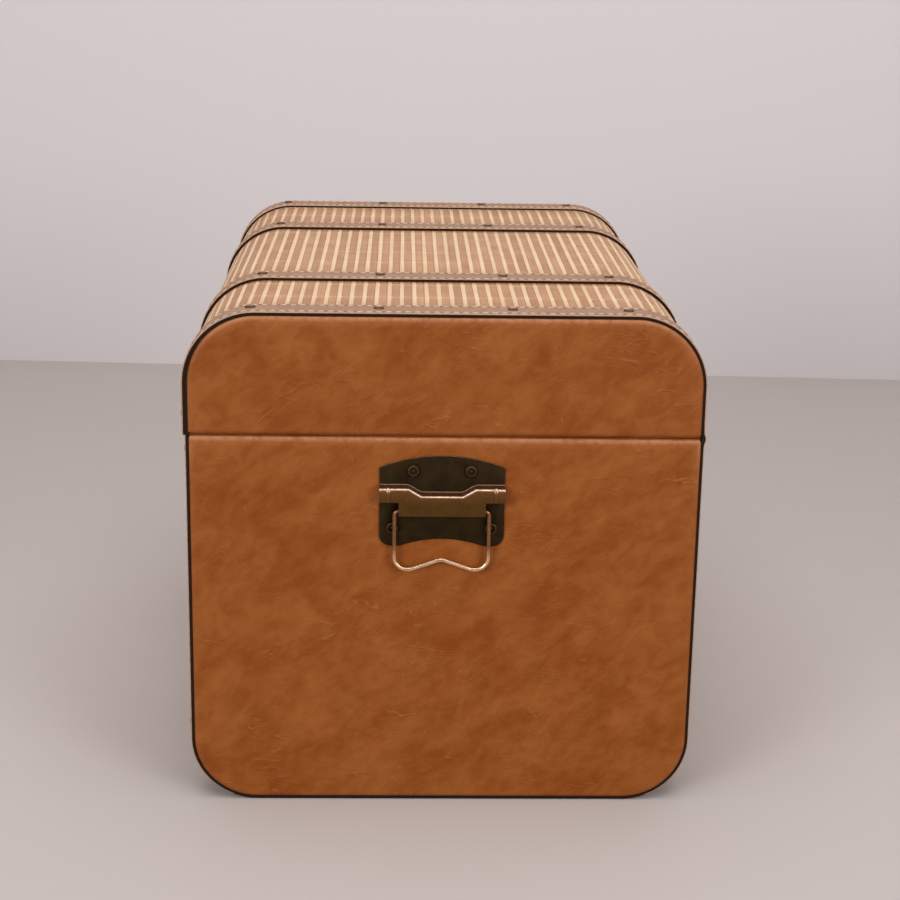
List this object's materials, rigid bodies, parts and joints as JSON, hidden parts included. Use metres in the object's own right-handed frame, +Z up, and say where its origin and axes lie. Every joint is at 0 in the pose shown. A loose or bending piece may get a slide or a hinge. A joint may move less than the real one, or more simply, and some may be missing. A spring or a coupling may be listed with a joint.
{
  "type": "storage trunk",
  "caption": "Storage trunk with a hinged lid, padded leather ends, split-bamboo matting, leather bands with nails and a chest handle on each end.",
  "frame": {"origin": "middle of the footprint, on the floor", "axes": "+X along the trunk from one handled end to the other, -Y the front, +Y the hinged back, +Z up"},
  "size_m": [0.599, 0.4071, 0.403],
  "materials": {
    "tan_leather": "mottled caramel leather over a thin pad",
    "taupe_leather": "matt taupe leather strap with stitched edges",
    "bamboo": "split bamboo slats, pale and brown in turn",
    "plywood": "bare bent plywood and board",
    "lining": "plain woven lining cloth",
    "bottom_cloth": "black felted bottom cloth",
    "bronze_fastener": "dark bronzed nail and screw heads",
    "dark_brass": "dark antiqued plate with bright edges",
    "old_brass": "antiqued brass, worn bright on its edges"
  },
  "bodies": {
    "base": {"base_back_mat": "bamboo", "base_band_1": "taupe_leather", "base_band_2": "taupe_leather", "base_band_3": "taupe_leather", "base_band_4": "taupe_leather", "base_bottom_cloth": "bottom_cloth", "base_end_board_left": "plywood", "base_end_board_right": "plywood", "base_end_pad_left": "tan_leather", "base_end_pad_right": "tan_leather", "base_front_mat": "bamboo", "base_lining": "lining", "base_nails": "bronze_fastener", "base_rim": "tan_leather", "base_shell": "plywood", "catch_strike": "old_brass", "handle_hood_left": "old_brass", "handle_hood_right": "old_brass", "handle_plate_left": "dark_brass", "handle_plate_right": "dark_brass", "handle_screws": "bronze_fastener", "hinge_base_leaf_left": "old_brass", "hinge_base_leaf_right": "old_brass", "hinge_base_screws": "bronze_fastener", "hinge_pin_left": "old_brass", "hinge_pin_right": "old_brass"},
    "lid": {"hinge_lid_leaf_left": "old_brass", "hinge_lid_leaf_right": "old_brass", "hinge_lid_screws": "bronze_fastener", "lid_band_1": "taupe_leather", "lid_band_2": "taupe_leather", "lid_band_3": "taupe_leather", "lid_band_4": "taupe_leather", "lid_end_board_left": "plywood", "lid_end_board_right": "plywood", "lid_end_pad_left": "tan_leather", "lid_end_pad_right": "tan_leather", "lid_lining": "lining", "lid_mat": "bamboo", "lid_nails": "bronze_fastener", "lid_rim": "tan_leather", "lid_shell": "plywood", "tab_root": "taupe_leather"},
    "closing_tab": {"catch_cap": "bronze_fastener", "closing_tab": "taupe_leather"},
    "bail_right": {"handle_bail_right": "old_brass"},
    "bail_left": {"handle_bail_left": "old_brass"}
  },
  "joints": [
    {"name": "lid_hinge", "type": "hinge", "parent": "base", "child": "lid", "pos_m": [0, 0.2, 0.304], "axis": [-1, 0, 0], "range_deg": [0, 105]},
    {"name": "tab_bend", "type": "hinge", "parent": "lid", "child": "closing_tab", "pos_m": [0, -0.202, 0.309], "axis": [-1, 0, 0], "range_deg": [0, 120]},
    {"name": "bail_right_swing", "type": "hinge", "parent": "base", "child": "bail_right", "pos_m": [0.2935, -0.0022, 0.2468], "axis": [0, -1, 0], "range_deg": [0, 130]},
    {"name": "bail_left_swing", "type": "hinge", "parent": "base", "child": "bail_left", "pos_m": [-0.2935, -0.0022, 0.2468], "axis": [0, 1, 0], "range_deg": [0, 130]}
  ]
}
